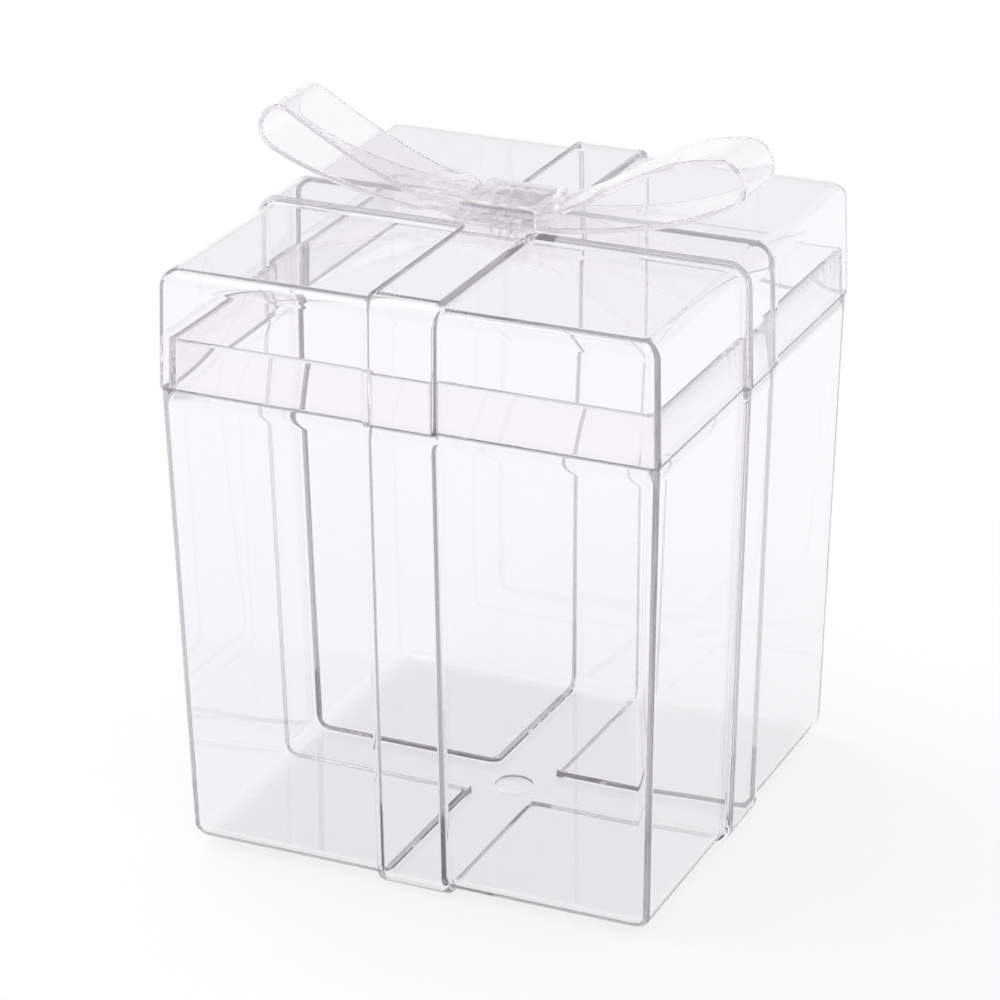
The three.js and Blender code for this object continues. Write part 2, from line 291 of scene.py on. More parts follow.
def quarter_arc(radius: float, steps: int) -> np.ndarray:
    """Follows the rounding between two faces that meet at right angles.

    Args:
        radius: Its radius.
        steps: How many steps it takes.

    Returns:
        Rows of the distance to the first face, from 0 up, and to the second, down to 0.
    """
    angles = np.linspace(0.0, QUARTER, steps + 1)
    return np.column_stack([radius * (1 - np.cos(angles)), radius * (1 - np.sin(angles))])


def bezier(a: np.ndarray, b: np.ndarray, c: np.ndarray, d: np.ndarray, steps: int) -> np.ndarray:
    """Follows a cubic curve.

    Args:
        a: Where it starts.
        b: The handle at its start.
        c: The handle at its end.
        d: Where it ends.
        steps: How many steps it takes.

    Returns:
        The points, both ends with them.
    """
    t = np.linspace(0.0, 1.0, steps + 1)[:, None]
    s = 1 - t
    return s**3 * a + 3 * s**2 * t * b + 3 * s * t**2 * c + t**3 * d


def placed(name: str, data: bpy.types.ID) -> bpy.types.Object:
    """Puts a new object into the scene.

    Args:
        name: The object's name.
        data: Its mesh, curve, lamp or camera.

    Returns:
        The object, at the origin.
    """
    made = bpy.data.objects.new(name, data)
    bpy.context.scene.collection.objects.link(made)
    return made


def settled(made: bpy.types.Object) -> bpy.types.Mesh:
    """Turns an object and its modifiers into a plain mesh.

    Args:
        made: The object.

    Returns:
        The plain mesh.
    """
    bpy.context.view_layer.update()
    graph = bpy.context.evaluated_depsgraph_get()
    return bpy.data.meshes.new_from_object(made.evaluated_get(graph), depsgraph=graph)


def tidied(mesh: bpy.types.Mesh) -> bpy.types.Mesh:
    """Merges doubles, drops loose points, turns every face outwards and shades the mesh smooth.

    Args:
        mesh: The mesh to tidy.

    Returns:
        The same mesh.
    """
    work = bmesh.new()
    work.from_mesh(mesh)
    bmesh.ops.remove_doubles(work, verts=work.verts, dist=MERGE)
    loose = [vertex for vertex in work.verts if not vertex.link_faces]
    bmesh.ops.delete(work, geom=loose, context="VERTS")
    bmesh.ops.recalc_face_normals(work, faces=work.faces)
    for face in work.faces:
        face.smooth = True
    work.to_mesh(mesh)
    work.free()
    return mesh


def round_edges(made: bpy.types.Object, width: float, segments: int) -> None:
    """Adds a modifier that rounds an object's sharp edges.

    Args:
        made: The object.
        width: The rounding's width.
        segments: How many faces it has.
    """
    bevel = made.modifiers.new("edges", "BEVEL")
    bevel.width = width
    bevel.segments = segments
    bevel.limit_method = "ANGLE"
    bevel.angle_limit = BEVEL_ANGLE


def mark_painted_shade(mesh: bpy.types.Mesh, gets_painted_shade: Callable[[bpy.types.MeshPolygon], bool]) -> None:
    """Marks the faces whose plastic gets painted shade, a darker colour standing for dark edge
    lines.

    Args:
        mesh: The mesh.
        gets_painted_shade: Tells whether a face is one of them.
    """
    shade_values = [float(gets_painted_shade(face)) for face in mesh.polygons]
    mesh.attributes.new(PAINTED_SHADE, "FLOAT", "FACE").data.foreach_set("value", shade_values)


@dataclass(frozen=True)
class ClearPlastic:
    """A see-through moulded plastic with the faint waves and rub marks of a handled piece, and
    painted shade that darkens its colour on marked faces.
    """

    name: str
    passed: tuple[float, float, float]  # share of each colour that a surface lets by
    painted_shade_passed: tuple[float, float, float]  # the same where the plastic carries painted shade, darker for its dark edge lines
    ior: float
    roughness: float
    haze: float  # how much the roughness grows along a rub mark
    wave_size: float  # metres from one wave to the next
    wave_height: float
    milkiness: float  # share of light that the surface scatters
    taken: tuple[float, float, float]  # share of each colour lost in one metre at density 1
    density: float
    wave_detail: float = 1.5
    wave_roughness: float = 0.4
    mark_turn: tuple[float, float, float] = (0.5, 0.7, 0.3)
    mark_stretch: tuple[float, float, float] = (1.0, 1.0, 14.0)
    mark_scale: float = 160.0
    mark_detail: float = 2.0
    mark_levels: tuple[float, float] = (0.60, 0.72)  # of the noise, from clear to full mark

    def material(self) -> bpy.types.Material:
        """Builds the plastic's node tree.

        Returns:
            The material.
        """
        made = bpy.data.materials.new(self.name)
        made.use_nodes = True
        tree = Tree(made.node_tree)
        place = tree.socket("ShaderNodeTexCoord", output="Object")
        waves = tree.number(
            "ShaderNodeTexNoise",
            inputs={
                "Vector": place,
                "Scale": 1 / self.wave_size,
                "Detail": self.wave_detail,
                "Roughness": self.wave_roughness,
            },
        )
        normal = tree.socket(
            "ShaderNodeBump",
            inputs={"Strength": 1.0, "Distance": self.wave_height, "Height": waves},
        )
        # painted shade: where the mesh marks it, the colour that the surface lets by is painted
        # darker
        painted_shade = tree.number("ShaderNodeAttribute", {"attribute_name": PAINTED_SHADE}, output="Fac")
        tint_with_painted_shade = tree.socket(
            "ShaderNodeMix",
            {"data_type": "RGBA"},
            {
                "Factor_Float": painted_shade,
                "A_Color": (*self.passed, 1.0),
                "B_Color": (*self.painted_shade_passed, 1.0),
            },
            "Result_Color",
        )
        surface = tree.socket(
            "ShaderNodeBsdfPrincipled",
            inputs={
                "Base Color": tint_with_painted_shade,
                "Roughness": self.rub_marks(tree, place) * self.haze + self.roughness,
                "IOR": self.ior,
                "Transmission Weight": 1.0 - self.milkiness,
                "Normal": normal,
            },
        )
        kept = tuple(1.0 - share for share in self.taken)
        inside = tree.socket(
            "ShaderNodeVolumeAbsorption",
            inputs={"Color": (*kept, 1.0), "Density": self.density},
        )
        tree.node("ShaderNodeOutputMaterial", inputs={"Surface": surface, "Volume": inside})
        return made

    def rub_marks(self, tree: Tree, place: bpy.types.NodeSocket) -> Number:
        """Draws sparse fine rub marks.

        Args:
            tree: The material's tree.
            place: Where a point is on the piece.

        Returns:
            1 on a mark and 0 between them.
        """
        turned = tree.socket(
            "ShaderNodeMapping",
            inputs={"Vector": place, "Rotation": self.mark_turn, "Scale": self.mark_stretch},
        )
        grain = tree.number(
            "ShaderNodeTexNoise",
            inputs={"Vector": turned, "Scale": self.mark_scale, "Detail": self.mark_detail},
        )
        return grain.smooth_between(*self.mark_levels)


BOX_PLASTIC = ClearPlastic(
    name="clear box plastic",
    passed=(0.982, 0.976, 0.987),
    # painted shade: the darker colour of the rim and ledge lines
    painted_shade_passed=(0.25, 0.25, 0.27),
    ior=1.55,
    roughness=0.0,
    haze=0.02,
    wave_size=14 * MM,
    wave_height=0.004 * MM,
    milkiness=0.0,
    taken=(0.10, 0.104, 0.096),
    density=120.0,
)
BOW_PLASTIC = ClearPlastic(
    name="soft bow plastic",
    passed=(0.978, 0.966, 0.982),
    # painted shade: the darker colour of the strip's cut edges
    painted_shade_passed=(0.89, 0.865, 0.91),
    ior=1.45,
    roughness=0.03,
    haze=0.08,
    wave_size=5 * MM,
    wave_height=0.02 * MM,
    milkiness=0.012,
    taken=(0.16, 0.20, 0.15),
    density=0.5,
)
KNOT_PLASTIC = replace(
    BOW_PLASTIC,
    name="knot plastic",
    passed=(0.99, 0.985, 0.992),
    # painted shade: the darker colour of the knot's rounded edges
    painted_shade_passed=(0.50, 0.48, 0.52),
    roughness=0.0,
    milkiness=0.0,
    density=25.0,
)


@dataclass(frozen=True)
class BandSection:
    """One half of a raised band, cut across. A shell gives the first four sizes in this order."""

    half_width: float
    rise: float
    root_radius: float
    edge_radius: float
    arc_steps: int = 4

    def points(self) -> np.ndarray:
        """Follows the band from its top down its side to the panel.

        Returns:
            Rows of distance from the band's middle and height above the panel.
        """
        edge = quarter_arc(self.edge_radius, self.arc_steps)
        root = quarter_arc(self.root_radius, self.arc_steps)
        across = [self.half_width - edge[:, 1], self.half_width + root[:, 0]]
        height = [self.rise - edge[:, 0], root[:, 1]]
        return np.column_stack([np.concatenate(across), np.concatenate(height)])


@dataclass(frozen=True)
class Station:
    """One level of a shell: a square with rounded corners and a band on each side."""

    half: float  # half width across the plain panels
    z: float
    corner: float
    band: BandSection
    out: float = 1.0  # direction in which a band rises here, outwards and upwards
    up: float = 0.0
    shade: float = 0.0  # painted shade: how much darker the plastic's colour is painted along this level


@dataclass(frozen=True)
class Gate:
    """The shallow dome that the moulding gate leaves in a floor."""

    radius: float
    height: float
    fullness: float = 0.75  # 0.5 makes an ellipsoid and 1 a paraboloid
    ring_shares: tuple[float, ...] = (1.1, 1.0, 0.92, 0.75, 0.5, 0.25)

    def lift(self, share: float) -> float:
        """Gives the dome's height at a share of its radius."""
        return self.height * max(0.0, 1.0 - share**2) ** self.fullness


@dataclass(frozen=True)
class ShellGrid:
    """How finely a shell is divided."""

    support: float = 0.06 * MM  # strip beside each rounding, which keeps flat faces flat
    corner_margin: float = 0.25 * MM  # wider strip beside an upright corner's rounding
    pad_radius: float = 1.5 * MM  # rounding of the floor panels' corners, seen from above
    pad_pull: float = 0.25  # how far such a corner's tip is drawn in, as a share of its radius
    pad_lines: int = 5
    pad_ease: float = 1.4  # above 1 the lines of a pad lie closer together beside the band
    corner_steps: int = 6
    centre_lines: tuple[float, ...] = (0.9 * MM, 1.8 * MM, 2.7 * MM, 3.6 * MM)


class ShellMesh:
    """Collects the vertices, their painted shade and the faces of one closed, banded shell."""

    def __init__(self, grid: ShellGrid) -> None:
        """Starts an empty mesh.

        Args:
            grid: How finely the shell is divided.
        """
        self.grid = grid
        self.vertices: list[tuple[float, float, float]] = []
        self.painted_shades: list[float] = []
        self.faces: list[tuple[int, ...]] = []

    def add(self, points: Iterable[Sequence[float]], shade: float = 0.0) -> list[int]:
        """Adds vertices.

        Args:
            points: Their places.
            shade: How much painted shade darkens the plastic's colour there.

        Returns:
            Their numbers.
        """
        first = len(self.vertices)
        self.vertices.extend(tuple(float(c) for c in p) for p in points)
        self.painted_shades.extend([shade] * (len(self.vertices) - first))
        return list(range(first, len(self.vertices)))

    def columns(self, station: Station) -> tuple[np.ndarray, np.ndarray]:
        """Spreads the columns of one side.

        Args:
            station: The level.

        Returns:
            Each column's distance from the side's middle, and the band's height there.
        """
        grid, band = self.grid, station.band
        section = band.points()
        foot = section[-1, 0] + grid.support
        pads = foot + np.linspace(0.0, 1.0, grid.pad_lines + 1) ** grid.pad_ease * grid.pad_radius
        edge = station.half - station.corner
        margin = edge - grid.corner_margin
        top = [*grid.centre_lines, section[0, 0] - grid.support]
        panel = [*pads, margin - grid.support, margin, edge]
        along = np.concatenate([top, section[:, 0], panel])
        height = np.concatenate([np.full(len(top), band.rise), section[:, 1], np.zeros(len(panel))])
        mirrored = np.concatenate([-along[::-1], [0.0], along])
        return mirrored, np.concatenate([height[::-1], [band.rise], height])

    def ring(self, station: Station) -> list[int]:
        """Adds the outline of one level, anticlockwise.

        Args:
            station: The level.

        Returns:
            The vertices' numbers, side after side, each side followed by its corner.
        """
        along, height = self.columns(station)
        side = np.column_stack(
            [station.half + station.out * height, along, station.z + station.up * height]
        )
        angles = np.linspace(0.0, QUARTER, self.grid.corner_steps + 1)[1:-1]
        centre = station.half - station.corner
        corner = np.column_stack(
            [
                centre + station.corner * np.cos(angles),
                centre + station.corner * np.sin(angles),
                np.full(len(angles), station.z),
            ]
        )
        quarter = np.vstack([side, corner])
        turned = [quarter]
        for _ in range(3):
            quarter = np.column_stack([-quarter[:, 1], quarter[:, 0], quarter[:, 2]])
            turned.append(quarter)
        # each vertex takes the level's painted shade
        return self.add(np.vstack(turned), station.shade)

    def join(self, lower: list[int], upper: list[int]) -> None:
        """Fills the faces between two rings."""
        for a, b, c, d in zip(lower, np.roll(lower, -1), np.roll(upper, -1), upper):
            self.faces.append((int(a), int(b), int(c), int(d)))

    def rounded(self, x: float, y: float, band: BandSection) -> tuple[float, float]:
        """Moves a point near a floor panel's corner, so that the corner is round.

        Args:
            x: The point's place.
            y: The point's place.
            band: The band that the panel's edges follow.

        Returns:
            Where the point goes.
        """
        reach = self.grid.pad_radius
        near = [max(0.0, 1.0 - abs(abs(c) - band.half_width) / reach) ** 2 for c in (x, y)]
        shift = reach * self.grid.pad_pull * near[0] * near[1]
        return x + math.copysign(shift, x), y + math.copysign(shift, y)

    def patch(self, station: Station, ring: list[int], is_open: Opening) -> FloorGrid:
        """Closes a ring with a level floor that carries the two crossing bands.

        Args:
            station: The ring's level.
            ring: The ring's vertices.
            is_open: Tells whether a cell is left open.

        Returns:
            The floor's grid of vertices, with -1 in its four corners.
        """
        along, height = self.columns(station)
        n = len(along)
        places = np.concatenate([[-station.half], along, [station.half]])
        heights = np.concatenate([[0.0], height, [0.0]])
        grid = [[-1] * (n + 2) for _ in range(n + 2)]
        per_side = len(ring) // 4
        for j in range(n):
            grid[n + 1][j + 1] = ring[j]
            grid[n - j][n + 1] = ring[per_side + j]
            grid[0][n - j] = ring[2 * per_side + j]
            grid[j + 1][0] = ring[3 * per_side + j]
        for i in range(1, n + 1):
            for j in range(1, n + 1):
                x, y = self.rounded(places[i], places[j], station.band)
                z = station.z + station.up * max(heights[i], heights[j])
                grid[i][j] = self.add([(x, y, z)])[0]
        for i in range(n + 1):
            for j in range(n + 1):
                cell = (grid[i][j], grid[i + 1][j], grid[i + 1][j + 1], grid[i][j + 1])
                middle = (places[i] + places[i + 1]) / 2, (places[j] + places[j + 1]) / 2
                if -1 not in cell and not is_open(*middle):
                    self.faces.append(cell)
        hubs = (grid[n][n], grid[1][n], grid[1][1], grid[n][1])
        for k, hub in enumerate(hubs):
            arc = [ring[(k * per_side + n - 1 + m) % len(ring)] for m in range(per_side - n + 2)]
            self.faces.extend((hub, a, b) for a, b in zip(arc, arc[1:]))
        return grid

    def dome(self, grid: FloorGrid, gate: Gate) -> None:
        """Fills the open middle of a floor with the gate's dome.

        Args:
            grid: The floor's grid of vertices.
            gate: The dome.
        """
        middle = len(grid) // 2
        reach = len(self.grid.centre_lines)
        low, high = middle - reach, middle + reach
        around = [grid[high][j] for j in range(low, high)]
        around += [grid[i][high] for i in range(high, low, -1)]
        around += [grid[low][j] for j in range(high, low, -1)]
        around += [grid[i][low] for i in range(low, high)]
        angles = [math.atan2(self.vertices[v][1], self.vertices[v][0]) for v in around]
        base = self.vertices[around[0]][2]
        rings = [around]
        for share in gate.ring_shares:
            radius = share * gate.radius
            z = base + gate.lift(share)
            rings.append(self.add((radius * math.cos(a), radius * math.sin(a), z) for a in angles))
        for outer, inner in zip(rings, rings[1:]):
            self.join(outer, inner)
        hub = self.add([(0.0, 0.0, base + gate.height)])[0]
        last = rings[-1]
        self.faces.extend((a, b, hub) for a, b in zip(last, last[1:] + last[:1]))

    def tunnels(self, station: Station, floors: list[FloorGrid], is_open: Opening) -> None:
        """Joins the open cells of two floors with upright walls.

        Args:
            station: The first floor's level, which gives the places of the grid's lines.
            floors: The two floors' grids of vertices.
            is_open: Tells whether a cell is open.
        """
        first, second = floors
        lines = [-station.half, *self.columns(station)[0], station.half]
        middles = [(a + b) / 2 for a, b in zip(lines, lines[1:])]
        for i in range(1, len(middles)):
            for j in range(1, len(middles)):
                here = is_open(middles[i], middles[j])
                for along, across in ((0, 1), (1, 0)):
                    if here != is_open(middles[i - across], middles[j - along]):
                        k, m = i + along, j + across
                        self.faces.append((first[i][j], first[k][m], second[k][m], second[i][j]))


def graded(levels: list[Station], flat: BandSection) -> list[Station]:
    """Changes the bands' section evenly from a floor's to the wall's.

    Args:
        levels: The levels round a cup's edge, the floor's first.
        flat: The bands' section on the floor.

    Returns:
        The same levels with their own sections.
    """
    result = []
    for level, share in zip(levels, np.linspace(0.0, 1.0, len(levels))):
        half = flat.half_width + float(share) * (level.band.half_width - flat.half_width)
        root = flat.root_radius + float(share) * (level.band.root_radius - flat.root_radius)
        band = replace(level.band, half_width=half, root_radius=root)
        result.append(replace(level, band=band))
    return result


def fenced(
    levels: list[Station], reach: float = 0.05 * MM, shortest: float = 0.2 * MM
) -> list[Station]:
    """Adds a level beside each level with painted shade, so that the painted shade doesn't spread
    over the wall.

    Args:
        levels: The levels, in order along the shell.
        reach: How far from a level with painted shade the wall is clear again.
        shortest: The shortest gap between two levels that is divided.

    Returns:
        All levels.
    """
    result = [levels[0]]
    for here, after in zip(levels, levels[1:]):
        gap = math.hypot(after.half - here.half, after.z - here.z)
        if gap > shortest and here.shade != after.shade:
            clear = min(here.shade, after.shade)
            share = reach / gap if here.shade > clear else 1 - reach / gap
            half = here.half + share * (after.half - here.half)
            z = here.z + share * (after.z - here.z)
            result.append(replace(here, half=half, z=z, shade=clear))
        result.append(after)
    return result


class Piece:
    """A finished piece of the box."""

    name: str
    body: Body
    slot: Slot
    nodes: tuple[str, ...]

    def mesh(self) -> bpy.types.Mesh:
        """Builds the piece's closed mesh."""
        raise NotImplementedError

    def make(self, material: bpy.types.Material) -> bpy.types.Object:
        """Puts the piece into the scene, ties it to its body and hides the solid that it replaces.

        Args:
            material: The piece's plastic.

        Returns:
            The object.
        """
        mesh = self.mesh()
        mesh.name = self.name
        mesh.materials.clear()
        mesh.materials.append(material)
        made = placed(self.name, mesh)
        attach(made, self.body.value)
        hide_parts(*self.nodes)
        details = self.name, self.body.value, len(mesh.polygons), self.nodes
        LOG.info("%s rides on %s: %d faces, replaces %s", *details)
        return made


@dataclass
class Shell(Piece):
    """A thin banded cup. A subclass gives its levels and its floor."""

    name: str
    body: Body
    nodes: tuple[str, ...]
    slot: Slot = Slot.BOX_PLASTIC
    corner: float = 1.5 * MM
    inner_corner: float = 0.12 * MM
    band_rise: float = 1.0 * MM
    outer_band: BandSection = BandSection(5.95 * MM, 1.0 * MM, 0.15 * MM, 0.8 * MM)
    grid: ShellGrid = ShellGrid()
    roll_steps: int = 14
    lip_steps: int = 5

    def roll(
        self,
        foot: tuple[float, float],
        mouth: tuple[float, float],
        radius: float,
        corner: float,
        band: BandSection,
    ) -> list[Station]:
        """Follows a cup's rounded foot edge from its floor to its wall.

        Args:
            foot: Half width and height at which wall and floor would meet.
            mouth: Half width and height at the wall's far end.
            radius: The edge's rounding.
            corner: The rounding of the upright corners.
            band: The bands' section.

        Returns:
            The levels, the floor's first.
        """
        sign = math.copysign(1.0, mouth[1] - foot[1])
        slope = (mouth[0] - foot[0]) / abs(mouth[1] - foot[1])
        levels = []
        for angle in np.linspace(QUARTER, 0.0, self.roll_steps + 1):
            depth = radius * (1 - math.sin(angle))
            half = foot[0] + slope * depth - radius * (1 - math.cos(angle))
            lift = math.cos(angle), -sign * math.sin(angle)
            levels.append(Station(half, foot[1] + sign * depth, corner, band, *lift))
        first = replace(levels[0], half=levels[0].half - self.grid.support)
        return [first, *levels]

    def lip(self, start: Station, stop: Station, radius: float, upward: bool) -> list[Station]:
        """Follows a rounded lip from a wall's outer face over to its inner face.

        Args:
            start: The outer face at the lip's level.
            stop: The inner face at the lip's level.
            radius: The rounding of both edges.
            upward: Whether the lip looks up.

        Returns:
            The levels, the outer face's first.
        """
        sign = 1.0 if upward else -1.0
        levels = []
        for inset, drop in quarter_arc(radius, self.lip_steps):
            levels.append(replace(start, half=start.half - inset, z=start.z - sign * drop))
        for inset, drop in quarter_arc(radius, self.lip_steps)[::-1]:
            levels.append(replace(stop, half=stop.half + inset, z=stop.z - sign * drop))
        return levels

    def stations(self) -> list[Station]:
        """Follows the shell from its outer floor over its mouth to its inner floor."""
        raise NotImplementedError

    def is_open(self, x: float, y: float) -> bool:
        """Tells from a floor cell's middle whether the cell is left open."""
        raise NotImplementedError

    def close_floors(self, work: ShellMesh, outer: Station, floors: list[FloorGrid]) -> None:
        """Fills or joins what the two floors leave open; outer is the outer floor's level."""
        raise NotImplementedError

    def mesh(self) -> bpy.types.Mesh:
        """Lofts the levels and closes both floors.

        Returns:
            The closed mesh.
        """
        work = ShellMesh(self.grid)
        levels = self.stations()
        rings = [work.ring(level) for level in levels]
        for lower, upper in zip(rings, rings[1:]):
            work.join(lower, upper)
        ends = ((levels[0], rings[0]), (levels[-1], rings[-1]))
        floors = [work.patch(level, ring, self.is_open) for level, ring in ends]
        self.close_floors(work, levels[0], floors)
        mesh = bpy.data.meshes.new(self.name)
        mesh.from_pydata(work.vertices, [], work.faces)
        # each vertex's painted shade, which darkens the plastic's colour
        mesh.attributes.new(PAINTED_SHADE, "FLOAT", "POINT").data.foreach_set("value", work.painted_shades)
        return tidied(mesh)


@dataclass
class Lid(Shell):
    """The lid: rolled edge round the roof, slots for the knot's legs."""

    name: str = "lid_shell"
    body: Body = Body.LID
    nodes: tuple[str, ...] = ("lid",)
    taper: float = 0.5 * MM
    wall: float = 0.95 * MM
    roof: float = 1.0 * MM
    edge_radius: float = 2.6 * MM
    rim_radius: float = 0.2 * MM
    channel: BandSection = BandSection(5.0 * MM, 1.0 * MM, 0.4 * MM, 0.15 * MM)
    roof_channel: BandSection = BandSection(5.3 * MM, 1.0 * MM, 0.8 * MM, 0.15 * MM)
    rim_drop: float = 0.22 * MM  # closes the gap that the solids keep over the ledge to a hair
    # painted shade along the rim, which draws its dark line in colour
    rim_painted_shade: float = 0.8
    slot_length: float = 4.0 * MM
    slot_width: float = 2.0 * MM
    post_spacing: float = 6.0 * MM
    slot_pad_radius: float = 1.2 * MM

    def __post_init__(self) -> None:
        """Lays the grid's lines along the slots."""
        lines = (self.slot_length / 2, self.post_spacing / 2 + self.slot_width / 2)
        self.grid = replace(self.grid, centre_lines=lines, pad_radius=self.slot_pad_radius)

    def faces(self) -> tuple[float, float, float]:
        """Reads the lid's size from its solid.

        Returns:
            Half width of the plain faces at the rim, the rim's height and the roof's height.
        """
        low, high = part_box("lid")
        return high.x - self.band_rise, low.z, high.z - self.band_rise

    def stations(self) -> list[Station]:
        """Follows the lid from the top of its roof over its rim to its ceiling.

        Returns:
            The levels, the roof's top first.
        """
        rim, rim_z, roof_z = self.faces()
        foot, mouth = (rim - self.taper, roof_z), (rim, rim_z)
        outside = self.roll(foot, mouth, self.edge_radius, self.corner, self.outer_band)
        ceiling = (foot[0] - self.wall, roof_z - self.roof)
        rim_z -= self.rim_drop
        inner_mouth = (rim - self.wall, rim_z)
        radius = self.edge_radius - self.wall
        inside = self.roll(ceiling, inner_mouth, radius, self.inner_corner, self.channel)
        inside = graded(inside, self.roof_channel)
        # the rim's lowest level carries painted shade, a dark line drawn in the colour
        start = Station(rim, rim_z, self.corner, self.outer_band, shade=self.rim_painted_shade)
        stop = Station(rim - self.wall, rim_z, self.inner_corner, self.channel)
        rim_levels = self.lip(start, stop, self.rim_radius, upward=False)
        return fenced(outside + rim_levels + inside[::-1])

    def is_open(self, x: float, y: float) -> bool:
        """Tells whether a cell of the roof lies in a slot."""
        near = abs(abs(y) - self.post_spacing / 2) < self.slot_width / 2
        return abs(x) < self.slot_length / 2 and near

    def close_floors(self, work: ShellMesh, outer: Station, floors: list[FloorGrid]) -> None:
        """Cuts the slots through the roof."""
        work.tunnels(outer, floors, self.is_open)


@dataclass
class BoxBody(Shell):
    """The box body: drafted walls, a ledge and a neck for the lid, and the gate mark."""

    name: str = "box_shell"
    body: Body = Body.BOX
    nodes: tuple[str, ...] = ("box_body",)
    overhang: float = 0.25 * MM
    taper: float = 1.65 * MM
    wall: float = 1.1 * MM
    floor: float = 1.2 * MM
    edge_radius: float = 2.6 * MM
    neck_height: float = 7.7 * MM
    neck_wall: float = 1.1 * MM
    fit: float = 0.3 * MM
    jog: float = 3.0 * MM  # height in which the inner wall swings in to the neck
    jog_steps: int = 10
    lip_radius: float = 0.3 * MM
    ledge_radius: float = 0.2 * MM
    # painted shade along the ledge, which draws its dark line in colour
    ledge_painted_shade: float = 0.8
    neck_corner: float = 1.1 * MM
    neck_inner_corner: float = 0.5 * MM
    neck_band: BandSection = BandSection(4.7 * MM, 1.0 * MM, 0.15 * MM, 0.5 * MM)
    channel: BandSection = BandSection(4.85 * MM, 1.0 * MM, 0.8 * MM, 0.15 * MM)
    floor_channel: BandSection = BandSection(4.85 * MM, 1.0 * MM, 0.3 * MM, 0.15 * MM)
    gate: Gate = Gate(radius=3.1 * MM, height=0.45 * MM)

    def stations(self) -> list[Station]:
        """Follows the body from its underside over its neck to its inner floor.

        Returns:
            The levels, the underside's first.
        """
        lid = Lid()
        rim, rim_z, roof_z = lid.faces()
        neck_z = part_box("box_body")[1].z
        ledge_z = neck_z - self.neck_height
        shoulder = rim - self.overhang
        foot, mouth = (shoulder - self.taper, self.band_rise), (shoulder, ledge_z)
        inner_foot = (foot[0] - self.wall, foot[1] + self.floor)
        inner_mouth = (shoulder - self.wall, ledge_z)
        slope = (inner_mouth[0] - inner_foot[0]) / (inner_mouth[1] - inner_foot[1])

        def neck_half(z: float) -> float:
            """Gives the half width of the neck at a height: the lid's inside, less the fit."""
            share = (z - rim_z) / (roof_z - rim_z)
            return rim - lid.taper * share - lid.wall - self.fit

        def wall_half(z: float) -> float:
            """Gives the half width of the plain hollow at a height."""
            return inner_foot[0] + slope * (z - inner_foot[1])

        outside = self.roll(foot, mouth, self.edge_radius, self.corner, self.outer_band)
        ledge = self.ledge(shoulder, neck_half(ledge_z), ledge_z)
        neck = Station(neck_half(neck_z), neck_z, self.neck_corner, self.neck_band)
        hole_half = neck.half - self.neck_wall
        hole = Station(hole_half, neck_z, self.neck_inner_corner, self.channel)
        lip = self.lip(neck, hole, self.lip_radius, upward=True)
        swing = self.swing(ledge_z, neck_half, wall_half)
        radius = self.edge_radius - self.wall
        inside = self.roll(inner_foot, inner_mouth, radius, self.inner_corner, self.channel)
        inside = graded(inside, self.floor_channel)
        return fenced(outside + ledge + lip + swing + inside[::-1])

    def ledge(self, shoulder: float, neck: float, ledge_z: float) -> list[Station]:
        """Follows the ledge that carries the lid, from the wall in to the neck.

        Args:
            shoulder: Half width of the wall below the ledge.
            neck: Half width of the neck above it.
            ledge_z: The ledge's height.

        Returns:
            The levels, the wall's first.
        """
        # the ledge's outer level carries painted shade, a dark line drawn in the colour
        outer = Station(shoulder, ledge_z, self.corner, self.outer_band, shade=self.ledge_painted_shade)
        inner = Station(neck, ledge_z, self.neck_corner, self.neck_band)
        arc = quarter_arc(self.ledge_radius, self.lip_steps)
        edge = [replace(outer, half=shoulder - near, z=ledge_z - far) for near, far in arc]
        root = [replace(inner, half=neck + far, z=ledge_z + near) for near, far in arc]
        return edge + root

    def swing(self, ledge_z: float, neck: Profile, wall: Profile) -> list[Station]:
        """Follows the inner wall where it swings from the neck out to the hollow.

        Args:
            ledge_z: The ledge's height, at which the swing starts.
            neck: The neck's outer face.
            wall: The hollow's plain face.

        Returns:
            The levels, the highest first.
        """
        levels = []
        for share in np.linspace(0.0, 1.0, self.jog_steps + 1):
            z = ledge_z - self.jog * share
            turn = eased(share)
            half = (neck(z) - self.neck_wall) * (1 - turn) + wall(z) * turn
            corner = self.neck_inner_corner * (1 - turn) + self.inner_corner * turn
            levels.append(Station(half, z, corner, self.channel))
        return levels

    def is_open(self, x: float, y: float) -> bool:
        """Tells whether a cell of the floor lies where the gate's dome goes."""
        return max(abs(x), abs(y)) < self.grid.centre_lines[-1]

    def close_floors(self, work: ShellMesh, outer: Station, floors: list[FloorGrid]) -> None:
        """Fills the middle of both floors with the gate's dome."""
        for floor in floors:
            work.dome(floor, self.gate)


